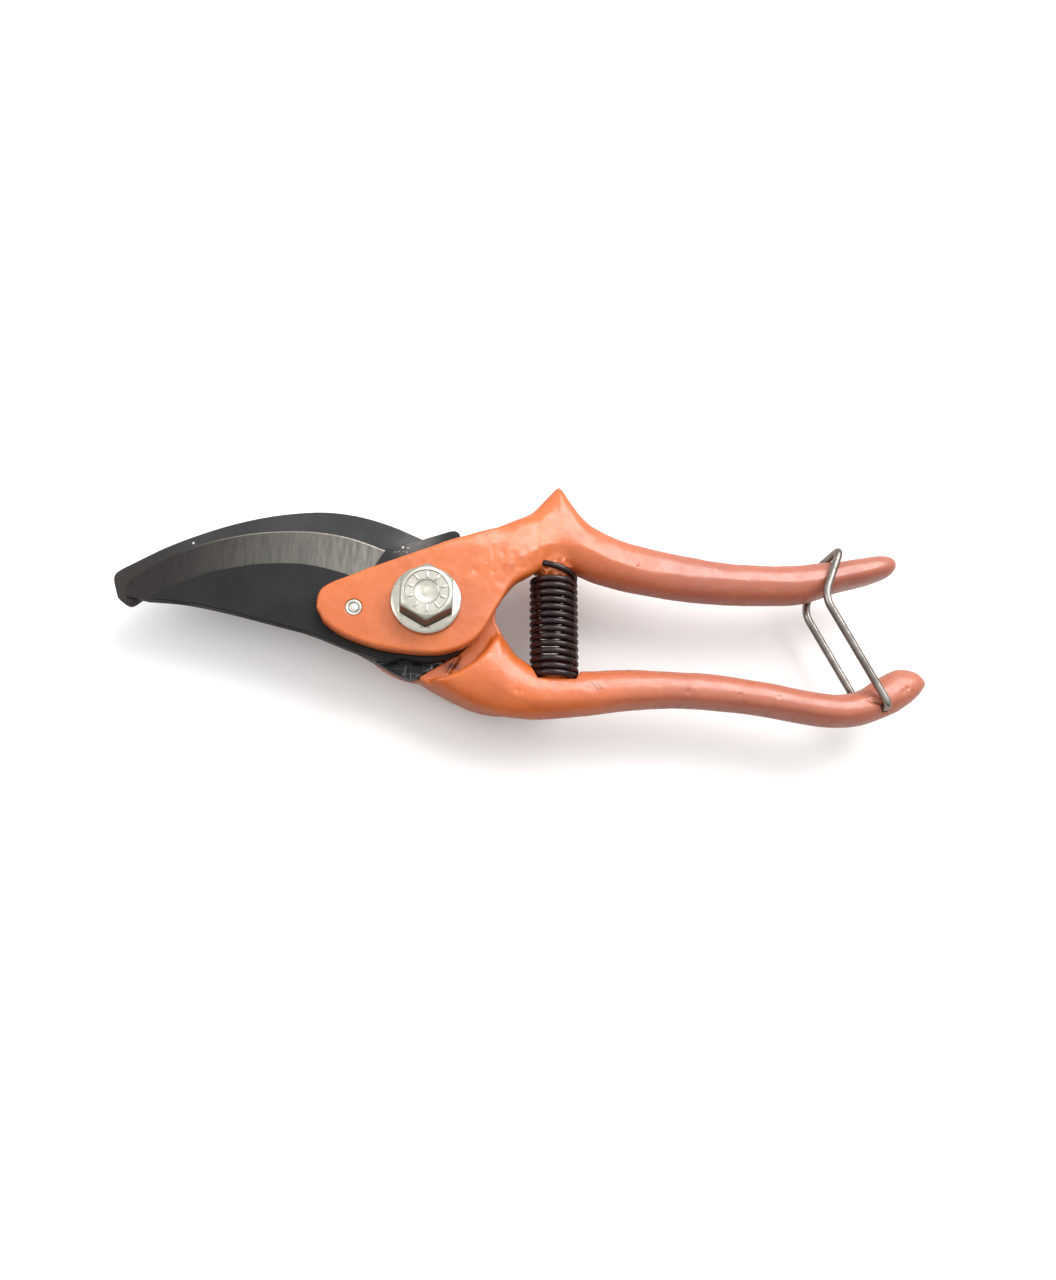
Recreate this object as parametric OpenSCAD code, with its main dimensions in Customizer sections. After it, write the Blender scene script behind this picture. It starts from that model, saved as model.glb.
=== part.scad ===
// Bypass pruner: two cast handles, a cutting blade and a hooked counter blade on one pivot
// bolt, a compression spring between the handles and a wire clasp that locks them shut.
// Millimetres, +Z up through the bolt head. The tool lies flat with its handles towards +X.
// The origin is on the pivot axis, at the end face of the bolt.

/* [Display] */

/* [Pivot bolt] */
// Thread and shank diameter
bolt_d = 8; // [6:0.5:10]
// Diameter of the flange under the head
flange_d = 17.9; // [14:0.1:22]
// Thickness of the flange at its edge
flange_t = 1.2; // [0.8:0.1:2]
// Width across the flats of head and nut
hex_af = 13; // [10:0.5:17]
// Height of the whole head, flange included
head_h = 8; // [5:0.1:10]
// Height of the lock nut
nut_h = 6.8; // [5:0.1:10]
// Bolt left standing out of the nut
bolt_proud = 0.9; // [0.5:0.1:3]
// Washer thickness
washer_t = 1.4; // [0.8:0.1:2.5]
// Washer diameter
washer_d = 16; // [12:0.5:24]

/* [Layers] */
// Thickness of each handle's flat head plate
plate_t = 4.2; // [3:0.1:6]
// Thickness of each blade
blade_t = 3; // [2:0.1:5]
// Free gap between faces that slide on each other
slide_gap = 0.05; // [0.02:0.01:0.2]

/* [Handles] */
// Grip thickness, front to back
grip_t = 12; // [9:0.5:18]
// Radius of the round head plate about the pivot
head_r = 13.9; // [11:0.1:18]
// Radius about the pivot where the upper grip steps down to its head plate
shoulder_r = 21.5; // [21:0.5:26]
// Radius about the pivot where the lower grip steps down to its head plate
lower_shoulder_r = 19.4; // [19:0.1:24]
// Radius of the lower head plate about the pivot
lower_head_r = 18.5; // [16:0.1:18.8]
// Roundness of the grip section: 2 is an ellipse
section_power = 2.3; // [2:0.1:4]

/* [Blades] */
// Radius of both blade tangs about the pivot
tang_r = 14.8; // [12:0.1:18]
// Width of the ground bevel on the cutting blade
bevel_w = 9.5; // [4:0.5:12]
// Land left at the cutting edge
edge_land = 0.25; // [0.1:0.05:1]

/* [Rivets] */
// Diameter of the rivet that pins each blade to its handle
rivet_d = 4.2; // [3:0.1:6]
// Depth of the rivet's face under the plate
rivet_sunk = 0.25; // [0:0.05:1]

/* [Spring] */
// Outer diameter
spring_d = 12.8; // [12:0.1:14]
// Wire diameter
spring_wire = 1.55; // [1:0.05:1.8]
// Working coils
spring_coils = 14; // [6:1:15]
// Stub that centres the spring on each handle
seat_d = 8.6; // [6:0.1:9.5]

/* [Clasp] */
// Wire diameter
clasp_wire = 2.1; // [1.5:0.1:3]
// Gap between the wire and each side of the grips
clasp_gap = 0.3; // [0.1:0.05:1]
// Radius of the bends, at the middle of the wire
clasp_bend = 1.6; // [1.2:0.1:3]

/* [Hidden] */
$fn = 96;
fit_gap = 0.05;       // radial, bolt shank in a turning plate
seat_gap = 0.03;      // radial, rivet or bolt in a plate that turns with it
pin_gap = 0.08;       // radial, clasp wire in its hole

// layers, counted up from the end of the bolt
z_nut = bolt_proud;
z_washer = z_nut + nut_h;
z_rear = z_washer + washer_t;
z_counter = z_rear + plate_t;
z_shear = z_counter + blade_t;
z_cut = z_shear + slide_gap;
z_front = z_cut + blade_t;
z_top = z_front + plate_t;
z_flange = z_top + slide_gap;
z_mid = z_shear + slide_gap / 2;

bolt_r = bolt_d / 2;
spring_r = (spring_d - spring_wire) / 2;
spring_x = 33.8;
spring_top = 9.4;
spring_bottom = -17.6;
front_rivet_at = [-18, -2.4];
rear_rivet_at = [-17.5, 5.3];
clasp_at = [121, -23.8];      // hole in the lower tail
clasp_kink = [105.8, 5.4];    // where each leg turns up to the crossbar
clasp_bar = [111.3, 19.0];    // crossbar over the upper tail
clasp_z = grip_t / 2 + clasp_gap + clasp_wire / 2;

orange = [0.93, 0.42, 0.2];
steel_dark = [0.2, 0.2, 0.2];
plated = [0.78, 0.78, 0.75];

// ---- curves ----

function spline_at(a, b, c, d, t) =
    0.5 * (2 * b + (c - a) * t + (2 * a - 5 * b + 4 * c - d) * t * t
    + (3 * b - a - 3 * c + d) * t * t * t);

// a smooth curve through every row of p, in any number of dimensions
function curve(p, n = 5) = let (m = len(p) - 1) concat(
    [for (i = [0 : m - 1], k = [0 : n - 1])
        spline_at(p[max(i - 1, 0)], p[i], p[i + 1], p[min(i + 2, m)], k / n)],
    [p[m]]);

function arc(r, a0, a1, n = 16) = [for (i = [0 : n])
    let (a = a0 + (a1 - a0) * i / n) [r * cos(a), r * sin(a)]];

function unit(v) = v / norm(v);

// a path with its corners rounded to radius r
function rounded(p, r, n = 6) = concat(
    [p[0]],
    [for (i = [1 : len(p) - 2]) let (
        u = unit(p[i] - p[i - 1]), v = unit(p[i + 1] - p[i]),
        turn = acos(max(-1, min(1, u * v))), d = r * tan(turn / 2),
        side = unit(v - u * cos(turn)))
        for (k = [0 : n]) let (a = turn * k / n)
            p[i] - u * d + u * r * sin(a) + side * r * (1 - cos(a))],
    [p[len(p) - 1]]);

// ---- swept solids ----

// rings is a list of rings, all with the same number of points, anticlockwise along the sweep
module skin(rings) {
    m = len(rings[0]);
    last = len(rings) - 1;
    polyhedron(
        points = [for (r = rings) each r],
        faces = concat(
            [[for (k = [0 : m - 1]) k]],
            [for (i = [0 : last - 1], k = [0 : m - 1]) each [
                [i * m + k, (i + 1) * m + k, i * m + (k + 1) % m],
                [i * m + (k + 1) % m, (i + 1) * m + k, (i + 1) * m + (k + 1) % m]]],
            [[for (k = [m - 1 : -1 : 0]) last * m + k]]),
        convexity = 8);
}

function signed_power(v, p) = sign(v) * pow(abs(v), p);

// one grip section: s = [x, top, bottom, half thickness]
function grip_ring(s, n = 16) = [for (k = [0 : n - 1]) let (a = 360 * k / n) [
    s[0],
    (s[1] + s[2]) / 2 + (s[1] - s[2]) / 2 * signed_power(cos(a), 2 / section_power),
    z_mid + s[3] * signed_power(sin(a), 2 / section_power)]];

module grip(stations) skin([for (s = curve(stations, 3)) grip_ring(s)]);

// a round wire along path p; ref is never parallel to it
module wire(p, d, ref, n = 10) {
    last = len(p) - 1;
    skin([for (i = [0 : last]) let (
        t = unit(p[min(i + 1, last)] - p[max(i - 1, 0)]),
        b = unit(cross(t, ref)), c = cross(b, t))
        [for (k = [0 : n - 1]) let (a = -360 * k / n)
            p[i] + d / 2 * (b * cos(a) + c * sin(a))]]);
}

// ---- outlines ----

module front_plate_outline() polygon(concat(
    curve([[-27.3, -2.5], [-26, 2.6], [-18.7, 6.4], [-12.3, 9.4], [-1.2, 14.1], [8.3, 18],
        [16.4, 20.6], [24, 22.6]]),
    [[30, 24], [30, 12.2]],
    curve([[27, 9.6], [23, 7], [21, 4.2], [17, -3], [15, -6.6], [12.2, -9.8], [7.3, -12.4],
        [1.5, -13.5], [-8, -12.9], [-15.8, -11.2], [-21.5, -8.8], [-25.4, -6]])));

module upper_step_outline() difference() {
    intersection() {
        front_plate_outline();
        translate([0, -3.5]) square([27, 40]);
    }
    circle(r = tang_r + fit_gap);
    polygon([[8.2, 31], [8.85, 19], [14.05, 4.85], [0, 0], [-30, 0], [-30, 31]]);
}

// the lower plate: a disc about the pivot, a tongue under the counter blade and the root of
// the grip, which reaches in under the grip itself
module rear_plate_outline() {
    circle(r = lower_head_r);
    hull() {
        circle(r = head_r);
        translate([-18.5, 5.6]) circle(r = 5);
    }
    polygon(concat(
        curve([[-2.4, -17.3], [-0.3, -18.9], [4.4, -21.6], [8.5, -23.6], [13, -25.5],
            [18, -26.6], [23, -26.6]], 3),
        curve([[26, -20], [23.6, -11.8], [20.7, -7.3], [18.2, -2]], 3),
        [[0, 0]]));
}

// the tang of the counter blade: round about the pivot, flat against the handle's step
module counter_tang(grow = 0) {
    r = tang_r + grow;
    polygon(concat(
        [[-18.3, -11.3 - grow], [-4.6, -18.9 - grow], [-2.2, -18.9 - grow]],
        arc(r, -56, 60),
        [[-0.8, 19.1], [-12, 17], [-18, 10]]));
}

module counter_outline() polygon(concat(
    curve([[-78, 3.5], [-78.3, 5.6], [-77.2, 7.3], [-73.3, 9.8], [-66, 14.2], [-58.3, 17.9],
        [-50.5, 21], [-42.5, 23.4], [-34.4, 25], [-26.2, 25.7], [-17.8, 24.9], [-9.3, 22.6],
        [-0.8, 19.1]]),
    arc(tang_r, 60, -56),
    curve([[-0.6, -17.9], [-2.4, -18.8], [-4.4, -18.8]], 3),
    [[-18.3, -11.3]],
    curve([[-22.3, -7.6], [-24.2, -2], [-24.6, 3], [-27.2, 7.6], [-33, 10.6], [-42, 11.6],
        [-52, 10.2], [-62, 6.6], [-69, 2.2], [-73, -1.1], [-74.7, -1.3], [-76.9, 0.2]])));

module cutting_outline() polygon(concat(
    curve([[-74.6, 0.2], [-75.2, 2.6], [-73.6, 5.4], [-66, 10.9], [-58.5, 14.7],
        [-50.2, 17.5], [-41.2, 19.3], [-30, 19.9], [-20, 18.6], [-10.3, 15.4]]),
    [[-9.7, 14.9], [6, 20.8]],
    curve([[7.4, 20.9], [8.4, 20.2], [8.8, 19]], 3),
    arc(tang_r, 19, -110),
    curve([[-9, -15.2], [-18.2, -12.3], [-28.7, -8.3], [-37.5, -6.1], [-49.4, -3.3],
        [-60, -1.4], [-70.5, -0.9]])));

// ---- pieces ----

module lower_handle() color(orange) {
    stations = [
        [-2, -17.2, -18.3, 3], [3, -15, -20.8, 4.6], [8, -11, -23.6, 5.4],
        [13, -6, -25.8, 5.8], [18, -2.6, -27.2, 6], [20.6, -7.2, -27.8, 6],
        [24, -12, -28.2, 6], [29, -15, -28.4, 6], [35, -15.9, -28, 6],
        [43, -15.5, -27, 6], [54, -14.9, -25.4, 6], [66, -15.1, -24.5, 6],
        [78, -15.6, -24.9, 6], [90, -17.2, -26.1, 6], [102, -19.3, -28, 6],
        [110, -20, -28.6, 6], [116, -18.5, -28, 6], [121.5, -15.3, -26.3, 5.8],
        [127, -12.7, -23.9, 5.3], [131.5, -12.9, -20.7, 4.2], [134, -14.6, -17.9, 2.4],
        [134.8, -15.8, -16.6, 0.8]];
    difference() {
        translate([0, 0, z_rear]) linear_extrude(plate_t + blade_t) rear_plate_outline();
        // pocket for the counter blade
        translate([0, 0, z_counter]) linear_extrude(blade_t + 1) union() {
            counter_tang(fit_gap);
            translate([-40, -22]) square([40 - 4.6, 48]);
        }
        translate([0, 0, z_rear - 1]) cylinder(h = 20, r = bolt_r + seat_gap);
        translate([rear_rivet_at[0], rear_rivet_at[1], z_rear - 1])
            cylinder(h = 20, d = rivet_d + 2 * seat_gap);
    }
    difference() {
        grip(stations);
        // the step round the head plates
        cylinder(h = 40, r = lower_shoulder_r);
        translate([clasp_at[0], clasp_at[1], 0]) cylinder(h = 40, d = clasp_wire + 2 * pin_gap);
        // round seat for the foot of the spring
        translate([spring_x, spring_bottom - spring_wire / 2 - slide_gap, z_mid]) rotate([-90, 0, 0])
            cylinder(h = 12, r = spring_d / 2 + 0.2);
    }
    translate([spring_x, -20, z_mid]) rotate([-90, 0, 0]) cylinder(h = 8.8, d = seat_d);
}

module upper_handle() color(orange) {
    stations = [
        [17, 20, 3, 6.6], [20, 23.6, 4, 6.6], [24, 25.4, 8, 6.5], [28, 28, 10.8, 6.4],
        [31.6, 31.9, 12.6, 6.3], [34.3, 35, 12.9, 6.2], [35.8, 35.3, 12.8, 6.2],
        [38.2, 31.6, 12.2, 6.1], [41.5, 27, 10.7, 6.1], [46, 23.5, 9, 6], [53, 20.6, 7.4, 6],
        [62, 18.5, 6, 6], [72, 16.7, 4.9, 6], [82, 15.6, 4.6, 6], [92, 15.4, 4.9, 6],
        [101, 15.9, 5.4, 6], [107, 16.8, 7, 6], [113, 17.5, 9.4, 6], [119, 18.7, 11, 5.8],
        [124, 19.6, 12.6, 5.3], [127.6, 19.6, 14.2, 4.2], [129.4, 18.8, 15.9, 2.4],
        [130, 17.9, 17, 0.8]];
    difference() {
        union() {
            translate([0, 0, z_front]) linear_extrude(plate_t) front_plate_outline();
            // step against the tang of the cutting blade
            translate([0, 0, z_cut]) linear_extrude(blade_t + 1) upper_step_outline();
        }
        translate([0, 0, z_front - 1]) cylinder(h = 20, r = bolt_r + fit_gap);
        translate([front_rivet_at[0], front_rivet_at[1], z_front - 1])
            cylinder(h = 20, d = rivet_d + 2 * seat_gap);
    }
    difference() {
        grip(stations);
        cylinder(h = 40, r = shoulder_r);
    }
    translate([spring_x, 7, z_mid]) rotate([-90, 0, 0]) cylinder(h = 8, d = seat_d);
}

module counter_blade() color(steel_dark) difference() {
    translate([0, 0, z_counter]) linear_extrude(blade_t) counter_outline();
    translate([0, 0, z_counter - 1]) cylinder(h = 10, r = bolt_r + seat_gap);
    translate([rear_rivet_at[0], rear_rivet_at[1], z_counter - 1])
        cylinder(h = 10, d = rivet_d + 2 * seat_gap);
}

// the bevel is cut by a strip that follows the edge, tilted down from its inner line
module bevel_cut() {
    edge = curve([[-80, -6], [-75.2, 2.6], [-66, 10.9], [-58.5, 14.7], [-50.2, 17.5],
        [-41.2, 19.3], [-30, 19.9], [-20, 18.6], [-10.3, 15.4], [-3, 12.2]]);
    last = len(edge) - 1;
    skin([for (i = [0 : last]) let (
        along = unit(edge[min(i + 1, last)] - edge[max(i - 1, 0)]),
        out = [-along[1], along[0]],
        inner = edge[i] - out * bevel_w,
        low = edge[i] + out * 2,
        drop = (blade_t - edge_land) * (1 + 2 / bevel_w)) [
        [inner[0], inner[1], z_front],
        [low[0], low[1], z_front - drop],
        [low[0], low[1], z_front + 1],
        [inner[0], inner[1], z_front + 1]]]);
}

module cutting_blade() color(steel_dark) difference() {
    translate([0, 0, z_cut]) linear_extrude(blade_t) cutting_outline();
    difference() {
        bevel_cut();
        // the tang keeps its full thickness behind a slanted step
        translate([0, 0, z_cut - 1]) linear_extrude(10)
            polygon([[-10.1, 15.6], [-13.2, 10.4], [-13.2, 0], [20, 0], [20, 40], [-10.1, 40]]);
    }
    translate([0, 0, z_cut - 1]) cylinder(h = 10, r = bolt_r + fit_gap);
    translate([front_rivet_at[0], front_rivet_at[1], z_cut - 1])
        cylinder(h = 10, d = rivet_d + 2 * seat_gap);
}

// a flush rivet with a peened rim and a flat centre
module rivet(z0, z1) rotate_extrude() polygon([
    [0, z0], [rivet_d / 2, z0], [rivet_d / 2, z1 - 0.25], [rivet_d / 2 - 0.45, z1],
    [rivet_d * 0.33, z1], [rivet_d * 0.3, z1 - 0.2], [0, z1 - 0.2]]);

module front_rivet() color(plated)
    translate([front_rivet_at[0], front_rivet_at[1], 0]) rivet(z_cut + 0.1, z_top - rivet_sunk);

module rear_rivet() color(plated)
    translate([rear_rivet_at[0], rear_rivet_at[1], z_shear - 0.1]) rotate([180, 0, 0])
        rivet(0, z_shear - 0.1 - z_rear - rivet_sunk);

module hex_prism(af, h, chamfer) intersection() {
    cylinder(h = h, d = af / cos(30), $fn = 6);
    rotate_extrude() polygon([[0, 0], [af, 0], [af, h - chamfer - af * 0.29],
        [af / 2 * 0.94, h], [0, h]]);
}

module pivot_bolt() color(plated) difference() {
    union() {
        rotate_extrude() polygon([[0, 0], [bolt_r - 0.8, 0], [bolt_r, 0.8], [bolt_r, z_flange],
            [flange_d / 2 - 0.2, z_flange], [flange_d / 2, z_flange + 0.3],
            [flange_d / 2, z_flange + flange_t * 0.7], [flange_d / 2 - 0.4, z_flange + flange_t],
            [hex_af / 2, z_flange + flange_t + 0.9], [0, z_flange + flange_t + 0.9]]);
        translate([0, 0, z_flange + flange_t]) rotate([0, 0, 30])
            hex_prism(hex_af, head_h - flange_t, 0);
    }
    translate([0, 0, z_flange + head_h - 0.5]) cylinder(h = 2, r1 = 2.2, r2 = 5.4);
}

module washer() color(plated) translate([0, 0, z_washer]) difference() {
    cylinder(h = washer_t - 0.02, d = washer_d);
    translate([0, 0, -1]) cylinder(h = 10, r = bolt_r + 0.2);
}

module lock_nut() color(plated) difference() {
    union() {
        translate([0, 0, z_nut + 1.9]) cylinder(h = nut_h - 1.92, d = hex_af / cos(30), $fn = 6);
        rotate_extrude() polygon([[bolt_r, z_nut], [hex_af / 2 - 1.2, z_nut],
            [hex_af / 2 - 0.7, z_nut + 0.5], [hex_af / 2 - 0.4, z_nut + 2], [bolt_r, z_nut + 2]]);
    }
    translate([0, 0, -1]) cylinder(h = 20, r = bolt_r + seat_gap);
    translate([0, 0, z_nut + 0.3]) cylinder(h = 1.5, d = hex_af - 3);
}

module nut_insert() color([0.85, 0.85, 0.8]) translate([0, 0, z_nut + 0.32]) difference() {
    cylinder(h = 1.46, d = hex_af - 3.04);
    translate([0, 0, -1]) cylinder(h = 4, r = bolt_r + 0.01);
}

module spring() color([0.16, 0.11, 0.1]) {
    turn_steps = 24;
    rise = spring_top - spring_bottom;
    steps = spring_coils * turn_steps;
    // closed turns lie at both ends and the top end runs on up beside the boss
    helix = [for (i = [0 : steps]) let (a = 360 * i / turn_steps, t = i / steps)
        [spring_x + spring_r * cos(a), spring_bottom + rise * t, z_mid + spring_r * sin(a)]];
    tail = [for (i = [1 : 8]) let (a = 360 * i / turn_steps)
        [spring_x + spring_r * cos(a), spring_top + 0.32 * i, z_mid + spring_r * sin(a)]];
    path = concat(helix, tail);
    m = 8;
    last = len(path) - 1;
    skin([for (i = [0 : last]) let (
        t = unit(path[min(i + 1, last)] - path[max(i - 1, 0)]),
        out = unit([path[i][0] - spring_x, 0, path[i][2] - z_mid]), up = cross(out, t))
        [for (k = [0 : m - 1]) let (a = -360 * k / m)
            path[i] + spring_wire / 2 * (out * cos(a) + up * sin(a))]]);
}

module wire_clasp() color(plated) {
    h = clasp_z;
    leg = [clasp_at, clasp_kink, clasp_bar];
    path = [[leg[0][0], leg[0][1], z_mid + 1.5], [leg[0][0], leg[0][1], z_mid + h],
        [leg[1][0], leg[1][1], z_mid + h], [leg[2][0], leg[2][1], z_mid + h],
        [leg[2][0], leg[2][1], z_mid - h], [leg[1][0], leg[1][1], z_mid - h],
        [leg[0][0], leg[0][1], z_mid - h], [leg[0][0], leg[0][1], z_mid - 1.5]];
    wire(rounded(path, clasp_bend, 5), clasp_wire, [0.9, 0.45, 0]);
}

lower_handle();
upper_handle();
counter_blade();
cutting_blade();
rear_rivet();
front_rivet();
pivot_bolt();
washer();
lock_nut();
nut_insert();
spring();
wire_clasp();
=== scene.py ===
import math

import bmesh
import bpy
import numpy as np
from mathutils import Matrix, Vector


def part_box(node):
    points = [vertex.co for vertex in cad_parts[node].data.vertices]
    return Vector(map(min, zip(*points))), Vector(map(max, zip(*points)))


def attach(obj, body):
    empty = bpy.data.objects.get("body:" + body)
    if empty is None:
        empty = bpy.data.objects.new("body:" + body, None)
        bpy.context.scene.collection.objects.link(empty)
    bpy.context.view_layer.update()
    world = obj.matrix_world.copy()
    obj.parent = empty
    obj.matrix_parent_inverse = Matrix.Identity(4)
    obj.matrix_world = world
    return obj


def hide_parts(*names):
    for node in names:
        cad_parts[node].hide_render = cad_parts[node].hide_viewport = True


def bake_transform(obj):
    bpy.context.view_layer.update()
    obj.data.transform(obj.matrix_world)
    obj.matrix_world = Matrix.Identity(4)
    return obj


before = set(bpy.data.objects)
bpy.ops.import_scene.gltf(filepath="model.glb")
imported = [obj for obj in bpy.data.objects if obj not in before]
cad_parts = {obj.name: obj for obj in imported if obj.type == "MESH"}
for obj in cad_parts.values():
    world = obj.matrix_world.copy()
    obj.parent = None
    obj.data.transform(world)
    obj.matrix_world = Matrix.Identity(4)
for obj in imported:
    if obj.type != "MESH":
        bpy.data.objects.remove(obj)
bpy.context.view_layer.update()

MM = 0.001
# each node's box in mm, as its low and high corners
BOX = {n: np.array([list(v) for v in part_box(n)]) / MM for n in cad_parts}
# heights of the faces in the stack, from the floor up, in mm
Z_END = BOX["pivot_bolt"][0][2]
Z_REAR = BOX["lower_handle"][0][2]
Z_COUNTER, Z_SHEAR = BOX["counter_blade"][:, 2]
Z_CUT, Z_FRONT = BOX["cutting_blade"][:, 2]
Z_TOP = BOX["upper_handle"][1][2]
Z_HEAD = BOX["pivot_bolt"][1][2]
Z_MID = BOX["spring"][:, 2].mean()
Z_FLANGE = Z_TOP + 0.05


# ---------------- camera, floor, light

def look_from(eye, at, up=(0, 1, 0)):
    """A camera matrix at eye that looks at a point, in metres."""
    back = (Vector(eye) - Vector(at)).normalized()
    right = Vector(up).cross(back).normalized()
    m = Matrix((right, back.cross(right), back)).transposed().to_4x4()
    m.translation = Vector(eye)
    return m


def set_camera():
    """The camera looks down at the tool's front, from a little below its lower grip."""
    data = bpy.data.cameras.new("camera")
    data.sensor_fit = "VERTICAL"
    data.sensor_height = 36
    data.lens = 29.0
    data.clip_start, data.clip_end = 0.01, 10
    cam = bpy.data.objects.new("camera", data)
    bpy.context.collection.objects.link(cam)
    cam.matrix_world = look_from((-0.005, -0.080, Z_TOP * MM + 0.250), (0.02598, -0.00964, 0.0242))
    bpy.context.scene.camera = cam


def area_light(name, eye, at, size, power):
    data = bpy.data.lights.new(name, "AREA")
    data.shape, data.size, data.size_y = "RECTANGLE", size[0], size[1]
    data.energy = power
    light = bpy.data.objects.new(name, data)
    bpy.context.collection.objects.link(light)
    light.matrix_world = look_from(eye, at, (0, 0, 1))


# sockets of a Mix node, which share their names
FACTOR, NUMBER_A, NUMBER_B, COLOUR_A, COLOUR_B = 0, 2, 3, 6, 7
NUMBER_OUT, COLOUR_OUT = 0, 2


def set_world():
    """Soft light from all round, brightest overhead and behind the tool, dim at the low front."""
    w = bpy.data.worlds.new("studio")
    w.use_nodes = True
    nt = w.node_tree
    where = nt.nodes.new("ShaderNodeTexCoord")
    along = nt.nodes.new("ShaderNodeVectorMath")
    along.operation = "DOT_PRODUCT"
    along.inputs[1].default_value = (0.0, 0.45, 0.9)
    fade = nt.nodes.new("ShaderNodeMapRange")
    for key, v in (("From Min", -0.3), ("From Max", 1.0), ("To Min", 0.10), ("To Max", 1.42)):
        fade.inputs[key].default_value = v
    nt.links.new(where.outputs["Generated"], along.inputs[0])
    nt.links.new(along.outputs["Value"], fade.inputs["Value"])
    # the camera itself sees a plain pale backdrop
    path = nt.nodes.new("ShaderNodeLightPath")
    seen = nt.nodes.new("ShaderNodeMix")
    seen.inputs[NUMBER_B].default_value = 0.95
    nt.links.new(path.outputs["Is Camera Ray"], seen.inputs[FACTOR])
    nt.links.new(fade.outputs[0], seen.inputs[NUMBER_A])
    background = nt.nodes["Background"]
    nt.links.new(seen.outputs[NUMBER_OUT], background.inputs["Strength"])
    background.inputs["Color"].default_value = (1.0, 0.985, 0.97, 1)
    bpy.context.scene.world = w


def floor_white():
    """White to the camera, and darker for the light that it throws back up at the tool."""
    m = bpy.data.materials.new("floor_white")
    m.use_nodes = True
    nt = m.node_tree
    p = nt.nodes["Principled BSDF"]
    path = nt.nodes.new("ShaderNodeLightPath")
    tint = nt.nodes.new("ShaderNodeMix")
    tint.data_type = "RGBA"
    tint.inputs[COLOUR_A].default_value = (0.50, 0.47, 0.46, 1)
    tint.inputs[COLOUR_B].default_value = (0.93, 0.925, 0.92, 1)
    nt.links.new(path.outputs["Is Camera Ray"], tint.inputs[FACTOR])
    nt.links.new(tint.outputs[COLOUR_OUT], p.inputs["Base Color"])
    p.inputs["Roughness"].default_value = 0.9
    p.inputs["Specular IOR Level"].default_value = 0.1
    return m


def set_stage():
    bpy.context.scene.view_settings.view_transform = "Standard"
    set_world()
    half, gap = 1.6, 0.0002
    me = bpy.data.meshes.new("floor")
    me.from_pydata([(-half, -half, 0), (half, -half, 0), (half, half, 0), (-half, half, 0)], [],
                   [(0, 1, 2, 3)])
    me.materials.append(floor_white())
    floor = bpy.data.objects.new("floor", me)
    bpy.context.collection.objects.link(floor)
    floor.location.z = Z_END * MM - gap
    area_light("key", (0.34, 0.45, 0.60), (0.03, 0.0, 0.0), (0.66, 0.50), 6.2)
    area_light("side", (-0.55, 0.05, 0.45), (0.0, 0.0, 0.0), (0.30, 0.30), 0.6)


# ---------------- curves and distances (mm)

def spline(p, n):
    """Points of the smooth curve through the rows of p."""
    p = np.asarray(p, float)
    m = len(p) - 1
    t = np.arange(n)[:, None] / n
    out = []
    for i in range(m):
        a, b, c, d = p[max(i - 1, 0)], p[i], p[i + 1], p[min(i + 2, m)]
        out.append(0.5 * (2 * b + (c - a) * t + (2 * a - 5 * b + 4 * c - d) * t**2
                          + (3 * b - a - 3 * c + d) * t**3))
    return np.vstack(out + [p[m:]])


def arc(r, a0, a1, n):
    """An arc about the pivot, in n steps between two angles in degrees."""
    a = np.radians(np.linspace(a0, a1, n + 1))
    return np.stack([r * np.cos(a), r * np.sin(a)], 1)


def outline_distance(x, y, pts):
    """Signed distance to a closed outline, negative inside."""
    shape = np.broadcast(x, y).shape
    best = np.full(shape, 1e9)
    inside = np.zeros(shape, bool)
    for (ax, ay), (bx, by) in zip(pts, np.roll(pts, -1, 0)):
        ex, ey = bx - ax, by - ay
        wx, wy = x - ax, y - ay
        t = np.clip((wx * ex + wy * ey) / max(ex * ex + ey * ey, 1e-12), 0, 1)
        best = np.minimum(best, (wx - t * ex) ** 2 + (wy - t * ey) ** 2)
        if ay != by:
            crosses = (ay > y) != (by > y)
            inside ^= crosses & (x < ax + (y - ay) * ex / ey)
    return np.where(inside, -1, 1) * np.sqrt(best)


def slab(d2, z, z0, z1, r):
    """A flat solid whose outline distance is d2, with its edges rounded by r."""
    dz = np.abs(z - (z0 + z1) / 2) - (z1 - z0) / 2 + r
    d2 = d2 + r
    return np.minimum(np.maximum(d2, dz), 0) + np.hypot(np.maximum(d2, 0), np.maximum(dz, 0)) - r


def blend_union(a, b, k):
    """a and b together, with the joint filled over about k."""
    h = np.clip(0.5 + 0.5 * (b - a) / k, 0, 1)
    return b * (1 - h) + a * h - k * h * (1 - h)


def blend_cut(a, b, k):
    """a without b, with the new edge rounded over about k."""
    return -blend_union(-a, b, k)


def rod(x, y, z, a, b, r):
    """A round-ended rod from a to b."""
    a, b = np.array(a, float), np.array(b, float)
    e = b - a
    t = np.clip(((x - a[0]) * e[0] + (y - a[1]) * e[1] + (z - a[2]) * e[2]) / (e @ e), 0, 1)
    return np.sqrt((x - a[0] - t * e[0]) ** 2 + (y - a[1] - t * e[1]) ** 2
                   + (z - a[2] - t * e[2]) ** 2) - r


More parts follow.
